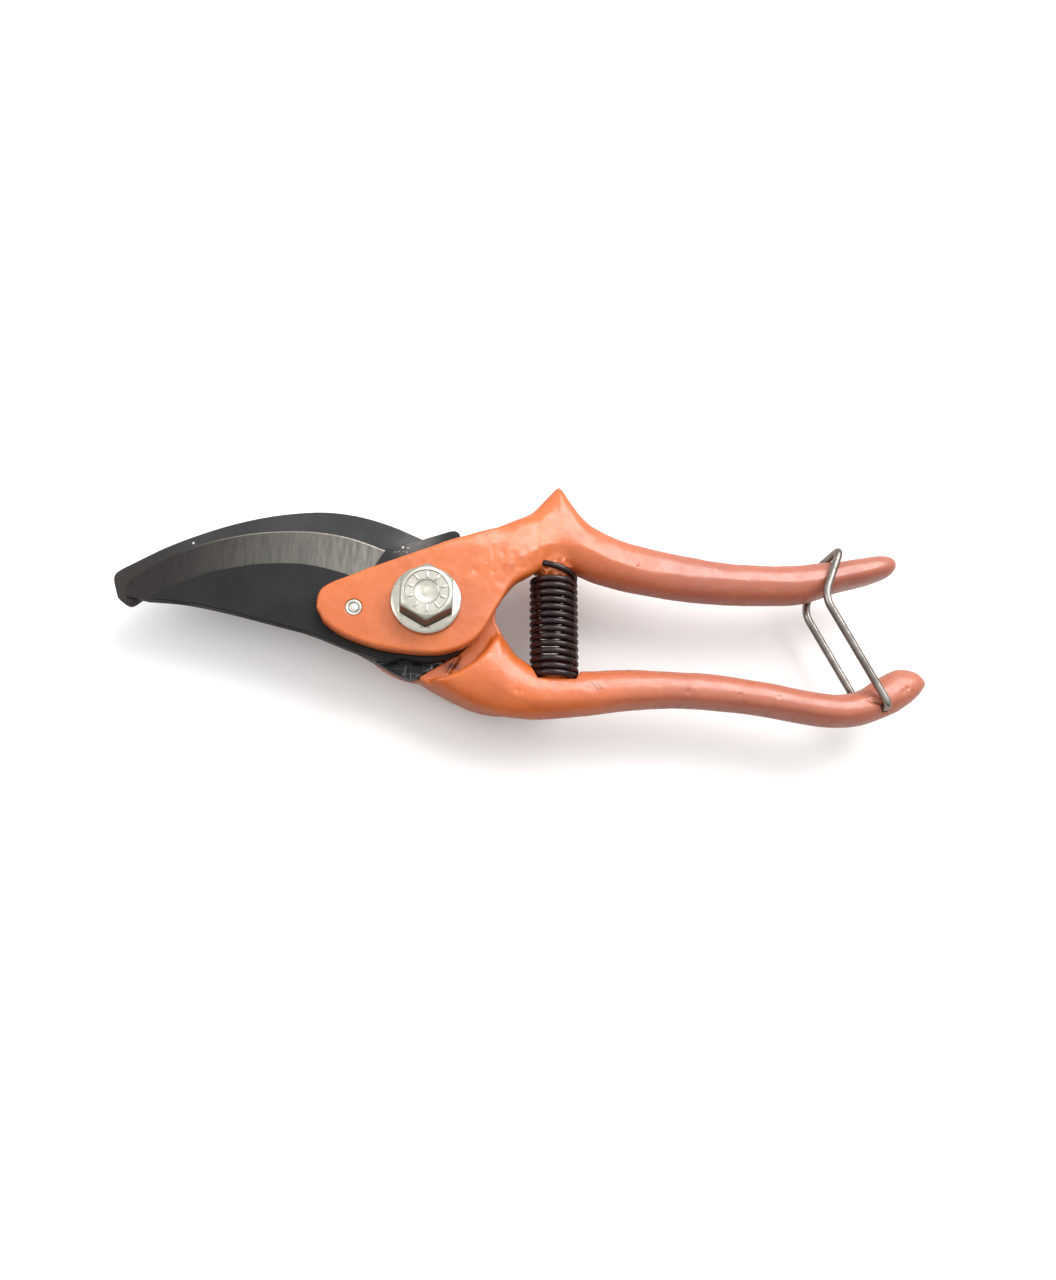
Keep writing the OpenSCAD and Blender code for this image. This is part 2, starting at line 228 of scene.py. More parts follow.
class Grip:
    """A cast grip: rounded sections that stand across X.

    Rows are x, top, bottom, half thickness. Along the ridge, whose rows are x and y, two faces
    of the section meet at a soft crease."""

    def __init__(self, rows, ridge, crease, power):
        c = spline(rows, 24)
        self.x, self.top, self.bottom, self.half = c.T
        self.ridge = np.array(ridge, float)
        self.crease = crease
        self.power = power

    def level(self, x, y, z):
        """1 on the skin and less inside, with its slopes across y and z."""
        top, low = np.interp(x, self.x, self.top), np.interp(x, self.x, self.bottom)
        half = np.interp(x, self.x, self.half)
        mid, tall = (top + low) / 2, np.maximum((top - low) / 2, 0.05)
        off = (y - np.interp(x, self.ridge[:, 0], self.ridge[:, 1])) / 6.5
        fall = self.crease * (np.sqrt(off**2 + 0.004) - 0.06) * np.clip((x - 10) / 12, 0, 1)
        half = half * (1 - 0.25 * np.tanh(fall / 0.25))
        u, v = np.abs(y - mid) / tall, np.abs(z - Z_MID) / np.maximum(half, 0.05)
        p = self.power
        g = (u**p + v**p + 1e-9) ** (1 / p)
        gy = g ** (1 - p) * u ** (p - 1) / tall
        gz = g ** (1 - p) * v ** (p - 1) / half
        return g, gy, gz

    def distance(self, x, y, z):
        e = 0.3
        g, gy, gz = self.level(x, y, z)
        gx = (self.level(x + e, y, z)[0] - self.level(x - e, y, z)[0]) / (2 * e)
        d = (g - 1) / np.sqrt(gx**2 + gy**2 + gz**2 + 1e-6)
        d = np.clip(d, -8, 12)
        return np.maximum(d, np.maximum(self.x[0] - x, x - self.x[-1]))


# ---------------- mesh from a distance field

def surface_net(field, lo, hi, h):
    """A closed quad mesh of the surface where field(x, y, z) is 0, in mm."""
    axes = [np.arange(a - 2 * h, b + 3 * h, h) for a, b in zip(lo, hi)]
    x, y, z = axes[0][:, None, None], axes[1][None, :, None], axes[2][None, None, :]
    f = np.broadcast_to(field(x, y, z), [len(a) for a in axes]).astype(np.float32)
    s = f < 0
    count = np.zeros([n - 1 for n in s.shape], np.int8)
    corners = [(i, j, k) for i in (0, 1) for j in (0, 1) for k in (0, 1)]
    for i, j, k in corners:
        count += s[i:i + count.shape[0], j:j + count.shape[1], k:k + count.shape[2]]
    cell = (count > 0) & (count < 8)
    at = np.argwhere(cell)
    ids = np.full(cell.shape, -1, np.int64)
    ids[tuple(at.T)] = np.arange(len(at))
    v = {c: f[tuple((at + c).T)] for c in corners}
    total, hits = np.zeros((len(at), 3)), np.zeros(len(at))
    for a in corners:
        for axis in range(3):
            if a[axis]:
                continue
            b = tuple(1 if q == axis else a[q] for q in range(3))
            cross = (v[a] < 0) != (v[b] < 0)
            with np.errstate(divide="ignore", invalid="ignore"):
                t = np.where(cross, v[a] / (v[a] - v[b]), 0)
            p = np.tile(np.array(a, float), (len(at), 1))
            p[:, axis] += t
            total += p * cross[:, None]
            hits += cross
    pos = np.stack([axes[q][0] + h * (at[:, q] + total[:, q] / hits) for q in range(3)], 1)
    faces = []
    for axis in range(3):
        a = np.moveaxis(s, axis, 0)
        n = np.moveaxis(ids, axis, 0)
        cross = a[:-1] != a[1:]
        cross[:, 0, :] = cross[:, :, 0] = cross[:, -1, :] = cross[:, :, -1] = False
        i, j, k = np.argwhere(cross).T
        quad = np.stack([n[i, j - 1, k - 1], n[i, j, k - 1], n[i, j, k], n[i, j - 1, k]], 1)
        flip = a[i, j, k] if axis != 1 else ~a[i, j, k]
        quad[~flip] = quad[~flip][:, ::-1]
        faces.append(quad)
    return pos, np.vstack(faces)


def settle(field, pos, steps):
    """Moves the points on to the surface, and returns them."""
    e, reach = 0.02, 0.25
    for _ in range(steps):
        x, y, z = pos.T
        d = field(x, y, z)
        g = np.stack([field(x + e, y, z), field(x, y + e, z), field(x, y, z + e)], 1)
        g = (g - d[:, None]) / e
        step = d[:, None] * g / np.maximum((g**2).sum(1), 0.2)[:, None]
        pos = pos - np.clip(step, -reach, reach)
    return pos


def cast_mesh(name, field, box):
    """A cast piece: a surface net, once subdivided, with every point on the true surface."""
    cell = 0.55
    pos, faces = surface_net(field, box[0], box[1], cell)
    pos = settle(field, pos, 4)
    me = bpy.data.meshes.new(name)
    me.from_pydata([tuple(v) for v in pos * MM], [], [tuple(map(int, f)) for f in faces])
    me.validate()
    bm = bmesh.new()
    bm.from_mesh(me)
    bmesh.ops.subdivide_edges(bm, edges=bm.edges[:], cuts=1, use_grid_fill=True)
    bm.to_mesh(me)
    bm.free()
    co = np.empty(len(me.vertices) * 3)
    me.vertices.foreach_get("co", co)
    pos = settle(field, co.reshape(-1, 3) / MM, 3)
    me.vertices.foreach_set("co", (pos * MM).ravel())
    me.polygons.foreach_set("use_smooth", [True] * len(me.polygons))
    me.update()
    ob = bpy.data.objects.new(name, me)
    bpy.context.collection.objects.link(ob)
    return ob


# ---------------- materials

class Shader:
    """A principled material with short helpers for its node tree."""

    def __init__(self, name, **values):
        self.mat = bpy.data.materials.new(name)
        self.mat.use_nodes = True
        self.tree = self.mat.node_tree
        self.bsdf = self.tree.nodes["Principled BSDF"]
        for key, value in values.items():
            self.bsdf.inputs[key.replace("_", " ")].default_value = value
        self.where = self.add("ShaderNodeTexCoord").outputs["Object"]

    def add(self, kind, **props):
        node = self.tree.nodes.new(kind)
        for key, value in props.items():
            setattr(node, key, value)
        return node

    def link(self, a, b):
        self.tree.links.new(a, b)

    def done(self, colour, rough, normal):
        """The finished material; rough is None where one roughness was set for all of it."""
        self.link(colour, self.bsdf.inputs["Base Color"])
        self.link(normal, self.bsdf.inputs["Normal"])
        if rough is not None:
            self.link(rough, self.bsdf.inputs["Roughness"])
        return self.mat

    def stretched(self, scale, turn=0.0):
        m = self.add("ShaderNodeMapping")
        m.inputs["Scale"].default_value = scale
        m.inputs["Rotation"].default_value[2] = turn
        self.link(self.where, m.inputs["Vector"])
        return m.outputs[0]

    def noise(self, scale, detail=3.0, rough=0.55, at=None):
        n = self.add("ShaderNodeTexNoise")
        n.inputs["Scale"].default_value = scale
        n.inputs["Detail"].default_value = detail
        n.inputs["Roughness"].default_value = rough
        self.link(at or self.where, n.inputs["Vector"])
        return n.outputs["Fac"]

    def spots(self, scale, low, high, at=None):
        """1 at scattered small spots, 0 between them."""
        v = self.add("ShaderNodeTexVoronoi")
        v.inputs["Scale"].default_value = scale
        self.link(at or self.where, v.inputs["Vector"])
        return self.ramp(v.outputs["Distance"], low, high, 1, 0)

    def ramp(self, value, low, high, a=0.0, b=1.0):
        r = self.add("ShaderNodeMapRange", interpolation_type="SMOOTHSTEP")
        for key, v in (("From Min", low), ("From Max", high), ("To Min", a), ("To Max", b)):
            r.inputs[key].default_value = v
        self.link(value, r.inputs["Value"])
        return r.outputs[0]

    def math(self, op, a, b):
        n = self.add("ShaderNodeMath", operation=op)
        for i, v in enumerate((a, b)):
            if isinstance(v, (int, float)):
                n.inputs[i].default_value = v
            else:
                self.link(v, n.inputs[i])
        return n.outputs[0]

    def times(self, a, b):
        return self.math("MULTIPLY", a, b)

    def mix(self, fac, a, b):
        n = self.add("ShaderNodeMix", data_type="RGBA")
        for i, v in ((FACTOR, fac), (COLOUR_A, a), (COLOUR_B, b)):
            if isinstance(v, (int, float)):
                n.inputs[i].default_value = v
            elif isinstance(v, tuple):
                n.inputs[i].default_value = (*v, 1)
            else:
                self.link(v, n.inputs[i])
        return n.outputs[COLOUR_OUT]

    def axis(self, which):
        """The place along X, Y or Z (0, 1 or 2), in metres."""
        s = self.add("ShaderNodeSeparateXYZ")
        self.link(self.where, s.inputs[0])
        return s.outputs[which]

    def near(self, at, radius):
        """1 at a place given in mm, falling to 0 at this distance from it."""
        n = self.add("ShaderNodeVectorMath", operation="DISTANCE")
        self.link(self.where, n.inputs[0])
        n.inputs[1].default_value = tuple(c * MM for c in at)
        return self.ramp(n.outputs["Value"], 0, radius * MM, 1, 0)

    def stroke(self, a, b, width):
        """0.8 along a straight stroke from a to b on the front of the tool, in mm."""
        m = self.add("ShaderNodeMapping", vector_type="TEXTURE")
        m.inputs["Location"].default_value = ((a[0] + b[0]) / 2 * MM, (a[1] + b[1]) / 2 * MM, 0)
        m.inputs["Rotation"].default_value[2] = math.atan2(b[1] - a[1], b[0] - a[0])
        self.link(self.where, m.inputs["Vector"])
        split = self.add("ShaderNodeSeparateXYZ")
        self.link(m.outputs[0], split.inputs[0])
        half = math.dist(a, b) / 2 * MM
        ends = self.ramp(self.math("ABSOLUTE", split.outputs[0], 0), half * 0.8, half, 1, 0)
        across = self.math("ABSOLUTE", split.outputs[1], 0)
        sides = self.ramp(across, width * 0.2 * MM, width / 2 * MM, 0.8, 0)
        front = self.ramp(self.axis(2), 0.018, 0.020)
        return self.times(front, self.times(ends, sides))

    def attribute(self, name):
        return self.add("ShaderNodeAttribute", attribute_name=name).outputs["Fac"]

    def bump(self, height, distance, strength, under=None):
        b = self.add("ShaderNodeBump")
        b.inputs["Strength"].default_value = strength
        b.inputs["Distance"].default_value = distance
        self.link(height, b.inputs["Height"])
        if under is not None:
            self.link(under, b.inputs["Normal"])
        return b.outputs[0]


def paint():
    """Thick glossy orange paint on a rough casting, pinker and duller towards the tails."""
    s = Shader("cast_orange_paint", Coat_Weight=0.35, Coat_Roughness=0.16)
    tail = s.ramp(s.axis(0), 0.024, 0.075)
    cloud = s.noise(46, 4, 0.6)
    body = s.mix(s.ramp(cloud, 0.35, 0.68), (0.58, 0.132, 0.024), (0.51, 0.104, 0.017))
    # the tails' colour: pinker and duller than the body, set only by place along X, and darker still at
    # the far end of the upper tail
    worn = s.mix(s.ramp(cloud, 0.3, 0.7), (0.46, 0.142, 0.082), (0.38, 0.112, 0.068))
    upper = s.ramp(s.axis(1), -0.008, 0.006)
    far = s.times(upper, s.ramp(s.axis(0), 0.09, 0.125, 0, 0.6))
    worn = s.mix(far, worn, (0.33, 0.104, 0.067))
    colour = s.mix(tail, body, worn)
    dust = s.ramp(s.noise(230, 5, 0.7), 0.56, 0.75, 0, 0.35)
    colour = s.mix(dust, colour, (0.50, 0.17, 0.085))
    mottle = s.ramp(s.noise(520, 3, 0.65), 0.50, 0.64, 0, 0.30)
    colour = s.mix(mottle, colour, (0.46, 0.095, 0.022))
    # darker blotches in the rough corner beside the arch
    blotch = s.ramp(s.noise(330, 3, 0.6), 0.52, 0.6)
    blotch = s.times(s.near((22.5, 11, Z_TOP), 8), blotch)
    colour = s.mix(s.times(blotch, 0.6), colour, (0.42, 0.075, 0.015))
    # painted shade in and around the crack at the corner of the step, broken up by noise
    crack_shade_noise = s.ramp(s.noise(420, 3, 0.6), 0.4, 0.55, 0.3, 1)
    crack_shade = s.times(s.near((7.4, -15.0, Z_SHEAR), 4), crack_shade_noise)
    colour = s.mix(crack_shade, colour, (0.09, 0.016, 0.008))
    pits = s.spots(210, 0.035, 0.075)
    gate = s.ramp(s.noise(60, 2), 0.55, 0.62)
    pits = s.times(pits, gate)
    nick = s.spots(95, 0.03, 0.055, at=s.stretched((1, 2.6, 1), 0.9))
    nick = s.times(nick, s.ramp(s.noise(38, 2, at=s.stretched((1, 1, 1), 1.3)), 0.56, 0.62))
    chips = s.math("MAXIMUM", s.times(pits, 0.55), s.times(nick, 0.9))
    # scratches on the front of the lower grip, and wear beside the clasp's hole
    for a, b, width in (((42.4, -19.3), (44.4, -21.7), 0.5), ((43.9, -19.5), (45.4, -21.4), 0.42),
                        ((46.2, -18.8), (46.6, -19.5), 0.3), ((117.4, -22.6), (120.4, -23.6), 0.8)):
        chips = s.math("MAXIMUM", chips, s.stroke(a, b, width))
    colour = s.mix(chips, colour, (0.10, 0.028, 0.018))
    n = s.bump(s.noise(95, 3, 0.5), 0.00055, 0.55)
    n = s.bump(s.noise(420, 3, 0.6), 0.00012, 0.6, n)
    n = s.bump(s.math("MAXIMUM", pits, nick), -0.00025, 0.8, n)
    return s.done(colour, s.ramp(s.noise(300, 4), 0.3, 0.75, 0.24, 0.5), n)


def oxide(name, tone, gloss, filed):
    """Blackened tool steel: cloudy scale, fine scratches and a rubbed patch beside the plate.

    A filed one is brown at its far tip and has a glossy tang, criss-crossed by a coarse file."""
    s = Shader(name, Metallic=0.5, Specular_IOR_Level=0.3 if filed else 0.2)
    cloud = s.noise(55, 5, 0.62)
    fine = s.noise(900, 3, 0.6)
    light = (tone, tone, tone * 1.02)
    dark = (tone * 0.65, tone * 0.65, tone * 0.68)
    colour = s.mix(s.ramp(cloud, 0.3, 0.72), light, dark)
    colour = s.mix(s.ramp(fine, 0.62, 0.8, 0, 0.35), colour, (0.06, 0.058, 0.055))
    line = s.noise(260, 4, 0.7, at=s.stretched((0.18, 1.6, 1), 0.5))
    colour = s.mix(s.ramp(line, 0.66, 0.76, 0, 0.2), colour, (0.09, 0.088, 0.085))
    # rubbed grey next to the plate, with a few bright nicks, and one nick far along the hook
    bare = (0.75, 0.74, 0.70)
    rubbed = s.ramp(s.noise(240, 4, 0.7), 0.3, 0.6, 0.4, 1)
    rubbed = s.times(s.near((-3, 17.5, Z_FRONT), 9), rubbed)
    colour = s.mix(rubbed, colour, (0.11, 0.107, 0.10))
    nick = s.times(s.near((-6.5, 16.2, Z_FRONT), 3.5), s.ramp(s.noise(1500, 2), 0.6, 0.66))
    colour = s.mix(nick, colour, bare)
    colour = s.mix(s.near((-59.7, 15.5, Z_SHEAR), 0.45), colour, bare)
    rough = s.ramp(s.noise(140, 5, 0.65), 0.3, 0.75, gloss - 0.1, gloss + 0.16)
    n = s.bump(s.noise(160, 4, 0.6), 0.00008, 0.5)
    n = s.bump(s.noise(1200, 2), 0.00003, 0.6, n)
    if filed:
        colour = s.mix(s.ramp(s.axis(0), -0.060, -0.076, 0, 0.6), colour, (0.030, 0.024, 0.020))
        tang = s.ramp(s.axis(1), -0.009, -0.011)
        a = s.ramp(s.noise(420, 4, 0.65, at=s.stretched((0.3, 1.9, 1), -0.5)), 0.52, 0.68)
        b = s.ramp(s.noise(480, 3, 0.6, at=s.stretched((2.2, 0.28, 1), 0.35)), 0.54, 0.68)
        marks = s.math("MAXIMUM", a, b)
        worn = s.mix(marks, (0.012, 0.012, 0.013), (0.17, 0.17, 0.17))
        colour = s.mix(tang, colour, worn)
        rough = s.math("SUBTRACT", rough, s.times(tang, 0.2))
        n = s.bump(s.times(marks, tang), -0.00015, 0.8, n)
    return s.done(colour, rough, n)


def ground():
    """The ground bevel: lighter steel with fine marks across the edge, darker towards the tip."""
    s = Shader("ground_bevel", Metallic=0.8)
    marks = s.noise(420, 5, 0.7, at=s.stretched((2.2, 0.16, 1), 0.12))
    along = s.attribute("along")
    bright = s.mix(s.ramp(marks, 0.3, 0.7), (0.125, 0.12, 0.107), (0.083, 0.081, 0.073))
    dark = s.mix(s.ramp(marks, 0.3, 0.7), (0.032, 0.029, 0.027), (0.024, 0.022, 0.021))
    colour = s.mix(s.ramp(along, 0.1, 0.8), dark, bright)
    return s.done(colour, s.ramp(marks, 0.25, 0.75, 0.36, 0.55), s.bump(marks, 0.00008, 0.6))


def honed():
    """The narrow honed land along the cutting edge, brown towards the tip."""
    s = Shader("honed_edge", Metallic=0.85, Roughness=0.38)
    marks = s.noise(700, 3, 0.6, at=s.stretched((2, 0.3, 1), 0.1))
    bright = s.mix(s.ramp(marks, 0.3, 0.7), (0.28, 0.255, 0.215), (0.17, 0.155, 0.135))
    colour = s.mix(s.ramp(s.axis(0), -0.044, -0.066), bright, (0.040, 0.029, 0.024))
    return s.done(colour, None, s.bump(marks, 0.00004, 0.5))


def plated(name="bright_plating", tone=(0.53, 0.52, 0.455), rough=0.24):
    """Zinc plate of this tone, slightly clouded."""
    s = Shader(name, Metallic=1.0)
    cloud = s.noise(260, 5, 0.65)
    dark = tuple(c * 0.8 for c in tone)
    colour = s.mix(s.ramp(cloud, 0.35, 0.72), tone, dark)
    grain = s.noise(420, 4, 0.6)
    gloss = s.ramp(grain, 0.3, 0.75, rough - 0.05, rough + 0.14)
    return s.done(colour, gloss, s.bump(grain, 0.00006, 0.6))


def spring_finish():
    """Oil-blackened spring wire, clouded with brown."""
    s = Shader("spring_steel", Metallic=0.15)
    cloud = s.ramp(s.noise(180, 4, 0.6), 0.35, 0.7)
    colour = s.mix(cloud, (0.026, 0.010, 0.009), (0.010, 0.005, 0.005))
    gloss = s.ramp(s.noise(500, 3), 0.3, 0.7, 0.10, 0.20)
    return s.done(colour, gloss, s.bump(s.noise(700, 3), 0.00005, 0.5))


def wire_finish():
    """Drawn steel wire with fine marks and dull patches."""
    s = Shader("drawn_wire", Metallic=0.95)
    cloud = s.ramp(s.noise(150, 4, 0.6), 0.3, 0.7)
    colour = s.mix(cloud, (0.36, 0.335, 0.31), (0.16, 0.14, 0.13))
    gloss = s.ramp(s.noise(600, 3), 0.3, 0.7, 0.20, 0.40)
    return s.done(colour, gloss, s.bump(s.noise(500, 3, 0.6), 0.00004, 0.5))


def nylon():
    """Off-white nylon that lets a little light in."""
    s = Shader("nylon_ring", Roughness=0.5, Subsurface_Weight=0.1)
    s.bsdf.inputs["Subsurface Scale"].default_value = 0.001
    colour = s.mix(s.ramp(s.noise(300, 3), 0.3, 0.7), (0.72, 0.71, 0.64), (0.62, 0.6, 0.52))
    return s.done(colour, None, s.bump(s.noise(900, 2), 0.00003, 0.5))


# ---------------- cast handles

# outline of the flat front plate, from the rivet end along the top to the neck and back
PLATE_TOP = [(-27.3, -2.5), (-26, 2.6), (-18.7, 6.4), (-12.3, 9.4), (-1.2, 14.1), (8.3, 18.1),
             (16.4, 21.1), (24, 23.6)]
PLATE_LOW = [(27, 9.6), (23, 7), (21, 4.2), (17, -3), (15, -6.6), (12.2, -9.8), (7.3, -12.4),
             (1.5, -13.5), (-8, -12.9), (-15.8, -11.2), (-21.5, -8.8), (-25.4, -6)]
# and of the rear plate's root, which the lower grip grows out of
ROOT_LOW = [(-2.4, -17.3), (-0.3, -18.9), (4.4, -21.6), (8.5, -23.6), (13, -25.5), (18, -26.6),
            (23, -26.6)]
ROOT_TOP = [(26, -20), (23.6, -11.8), (20.7, -7.3), (18.2, -2)]
# sections along each grip, as x, top, bottom and half thickness
UPPER_GRIP = [
    (17, 20, 3, 6.6), (20, 23.6, 4, 6.6), (24, 25.4, 8, 6.5), (28, 28, 10.8, 6.4),
    (31.6, 31.9, 12.6, 6.3), (34.3, 35, 12.9, 6.2), (35.8, 35.3, 12.8, 6.2),
    (38.2, 31.6, 12.2, 6.1), (41.5, 27, 10.7, 6.1), (46, 23.5, 9, 6), (53, 20.6, 7.4, 6),
    (62, 18.5, 6, 6), (72, 16.7, 4.9, 6), (82, 15.6, 4.6, 6), (92, 15.4, 4.9, 6),
    (101, 15.9, 5.4, 6), (107, 16.8, 7, 6), (113, 17.5, 9.4, 6), (119, 18.7, 11, 5.8),
    (124, 19.6, 12.6, 5.3), (127.6, 19.6, 14.2, 4.2), (129.4, 18.8, 15.9, 2.4),
    (130, 17.9, 17, 0.8)]
LOWER_GRIP = [
    (-2, -17.2, -18.3, 3), (3, -15, -20.8, 4.6), (8, -11, -23.6, 5.4), (13, -6, -25.8, 5.8),
    (18, -2.6, -27.2, 6), (20.6, -7.2, -27.8, 6), (24, -12, -28.2, 6), (29, -15, -28.4, 6),
    (35, -15.9, -28, 6), (43, -15.5, -27, 6), (54, -14.9, -25.4, 6), (66, -15.1, -24.5, 6),
    (78, -15.6, -24.9, 6), (90, -17.2, -26.1, 6), (102, -19.3, -28, 6), (110, -20, -28.6, 6),
    (116, -18.5, -28, 6), (121.5, -15.3, -26.3, 5.8), (127, -12.7, -23.9, 5.3),
    (131.5, -12.9, -20.7, 4.2), (134, -14.6, -17.9, 2.4), (134.8, -15.8, -16.6, 0.8)]
# where the front face of each grip is thickest, as x, y
UPPER_RIDGE = [(20, 11.5), (25.5, 13.6), (29.4, 16.2), (33.4, 17.4), (40, 17.2), (44.3, 15.4), (48, 13.8),
               (54, 11.6), (60, 10.4), (73, 9.8), (86, 9.5), (100, 9.7), (113, 11.8), (130, 17)]
LOWER_RIDGE = [(8, -15), (16.5, -19.5), (23.5, -23.8), (29.5, -24.6), (41.5, -24), (54, -23), (66, -23),
               (82, -24.5), (100, -26), (110, -26.3), (120, -24), (134, -17)]
# radii about the pivot where each grip ends, and of the counter blade's tang
SHOULDER_R = 21.5
LOWER_SHOULDER_R = 19.4
TANG_R = 14.8
RIVET_R = 2.1
FRONT_RIVET = (-18, -2.4)
REAR_RIVET = (-17.5, 5.3)
CLASP_AT = (121, -23.8)
SPRING_X, SPRING_LOW, SPRING_HIGH = 33.8, -17.6, 9.4

LATTICE = np.random.RandomState(7).rand(32, 32, 32) * 2 - 1


def lumps(x, y, z, size):
    """Smooth noise from -1 to 1 with lumps of about this size, in mm."""
    out = 0.0
    cell, frac = [], []
    for v in (x, y, z):
        v = v / size + 100
        i = np.floor(v).astype(int)
        f = v - i
        cell.append(i)
        frac.append(f * f * (3 - 2 * f))
    for a in (0, 1):
        for b in (0, 1):
            for c in (0, 1):
                w = ((frac[0] if a else 1 - frac[0]) * (frac[1] if b else 1 - frac[1])
                     * (frac[2] if c else 1 - frac[2]))
                out = out + w * LATTICE[(cell[0] + a) % 32, (cell[1] + b) % 32, (cell[2] + c) % 32]
    return out


def casting_skin(x, y, z):
    """How far the cast and painted skin stands in or out of its true surface."""
    return 0.10 * lumps(x, y, z, 5.5) + 0.045 * lumps(x, y, z, 2.1)


def round_hole(x, y, at, r):
    return np.hypot(x - at[0], y - at[1]) - r


def dents(x, y, z, d, spots):
    """Shallow round dents: each spot is x, y, radius, depth, on the front face."""
    for px, py, r, deep in spots:
        q = ((x - px) ** 2 + (y - py) ** 2) / r**2
        d = d + deep * np.exp(-q) * (z > Z_MID)
    return d


def upper_field():
    plate_pts = np.vstack([spline(PLATE_TOP, 8), [(30, 24), (30, 12.2)], spline(PLATE_LOW, 8)])
    grip = Grip(UPPER_GRIP, UPPER_RIDGE, 0.19, 2.6)
    pits = [(10.4, 13.5, 0.4, 0.06), (12.4, 8.7, 0.9, 0.10), (15.5, 11.0, 0.35, 0.06),
            (17.0, 8.6, 0.5, 0.08), (26.1, 19.8, 0.35, 0.12), (28.8, 19.1, 0.4, 0.12),
            (19.8, 13.4, 0.35, 0.06), (55.6, 12.6, 0.45, 0.25)]

    def field(x, y, z):
        d2 = outline_distance(x, y, plate_pts)
        fall = np.clip((x - 14) / 15, 0, 1) ** 2 * 2.6
        plate = slab(d2, z + fall, Z_FRONT + fall, Z_TOP, 0.85)
        # a broad bevel grows along the plate's top edge, towards the horn
        wide = np.clip((y - 9 - 0.3 * x) / 3, 0, 1) * np.clip((x + 2) / 22, 0, 1)
        bevel = (d2 + 4.8 * wide - 2 + (z + fall - Z_TOP) * 2.1) / 2.33
        plate = blend_cut(plate, -bevel, 1.6)
        from_pivot = np.hypot(x, y)
        # the grip rises out of the plate little by little, and stops short of the head below it
        rise = np.clip((27 - x) / 10, 0, 1) ** 2 * 3
        bar = grip.distance(x, y, z) + rise
        bar = np.maximum(bar, np.minimum(SHOULDER_R - from_pivot, Z_FRONT + 1 - z))
        # under the plate, beside the tang, the step stands down to the blade's layer
        step = slab(np.maximum(d2 + 0.4, TANG_R + 0.3 - from_pivot), z, Z_CUT, Z_FRONT + 1, 0.3)
        step = np.maximum(step, 8.9 - x)
        boss = rod(x, y, z, (SPRING_X, 16, Z_MID), (SPRING_X, 11.4, Z_MID), 4.4)
        rough = 0.8 * lumps(x, y, z, 1.2) * np.clip((15 - y) / 1.5, 0, 1)
        stub = rod(x, y, z, (SPRING_X, 12, Z_MID), (SPRING_X, 10.2, Z_MID), 3.6)
        boss = blend_union(boss + rough, stub, 0.5)
        d = blend_union(plate, bar, 4.5)
        d = blend_union(d, step, 0.5)
        d = blend_union(d, boss, 1.6)
        corner = np.exp(-((x - 22.5) ** 2 + (y - 11) ** 2) / 24)
        d = d + casting_skin(x, y, z) + 0.13 * corner * lumps(x, y, z, 1.5)
        d = dents(x, y, z, d, pits)
        rivet = round_hole(x, y, FRONT_RIVET, RIVET_R + 0.05)
        hole = np.minimum(round_hole(x, y, (0, 0), 4.1), rivet)
        return np.maximum(d, -hole)

    return field


def pocket_outline():
    """The lower handle's pocket, a little larger than the counter blade's tang in it."""
    gap = 0.05
    return np.vstack([[(-18.3, -11.3 - gap), (-4.6, -18.9 - gap), (-2.2, -18.9 - gap)],
                      arc(TANG_R + gap, -56, 60, 40), [(-0.8, 19.1), (-12, 17), (-18, 10)]])


def lower_field():
    root_pts = np.vstack([spline(ROOT_LOW, 6), spline(ROOT_TOP, 6), [(0, 0)]])
    pocket_pts = pocket_outline()
    grip = Grip(LOWER_GRIP, LOWER_RIDGE, 0.14, 2.2)
    pits = [(67.8, -21.3, 0.55, 0.28), (81.6, -21.7, 0.4, 0.18), (82.6, -23.8, 0.4, 0.22),
            (92, -22, 0.5, 0.15), (127.8, -18.6, 0.5, 0.3), (126.4, -19.6, 0.4, 0.2),
            (129.3, -19.4, 0.4, 0.25), (23.5, -22.2, 0.5, 0.2), (24.6, -23.3, 0.35, -0.15)]

    def field(x, y, z):
        from_pivot = np.hypot(x, y)
        disc = from_pivot - 18.5
        tongue = rod(x, y, 0, (0, 0, 0), (-18.5, 5.6, 0), 5.0)
        root = outline_distance(x, y, root_pts)
        d2 = np.minimum(np.minimum(disc, tongue), root)
        plate = slab(d2, z, Z_REAR, Z_SHEAR, 0.6)
        bar = grip.distance(x, y, z)
        flare = np.clip((x - 17.5) / 3.5, 0, 1) * 2.0
        wall = LOWER_SHOULDER_R + flare - from_pivot
        bar = -blend_union(-bar, -wall, 1.6)
        # the spring stands in a round seat, over a stub
        from_spring = np.hypot(x - SPRING_X, z - Z_MID)
        seat = np.maximum(from_spring - 6.6, SPRING_LOW - 0.85 - y)
        stub = rod(x, y, z, (SPRING_X, -22, Z_MID), (SPRING_X, -15.4, Z_MID), 4.0)
        d = blend_union(plate, bar, 1.2)
        d = np.minimum(blend_cut(d, seat, 0.6), stub)
        d = d + casting_skin(x, y, z)
        d = dents(x, y, z, d, pits)
        # a crack at the corner of the step, and a trench that the clasp's wire has worn
        crack = rod(x, y, z, (8.8, -12.6, Z_SHEAR + 0.1), (6.2, -17.2, Z_SHEAR + 0.4), 0.75)
        worn = rod(x, y, z, (*CLASP_AT, 22.5), (116.6, -22.2, 22.8), 0.95)
        d = blend_cut(blend_cut(d, crack, 0.3), worn, 0.5)
        pocket = outline_distance(x, y, pocket_pts)
        left = np.maximum(x + 4.6, np.maximum(y - 26, -22 - y))
        pocket = np.maximum(np.minimum(pocket, left), Z_COUNTER - z)
        rivet = round_hole(x, y, REAR_RIVET, RIVET_R + 0.05)
        hole = np.minimum(round_hole(x, y, (0, 0), 4.05), rivet)
        hole = np.minimum(hole, round_hole(x, y, CLASP_AT, 1.2))
        return np.maximum(np.maximum(d, -pocket), -hole)

    return field


# ---------------- explicit meshes

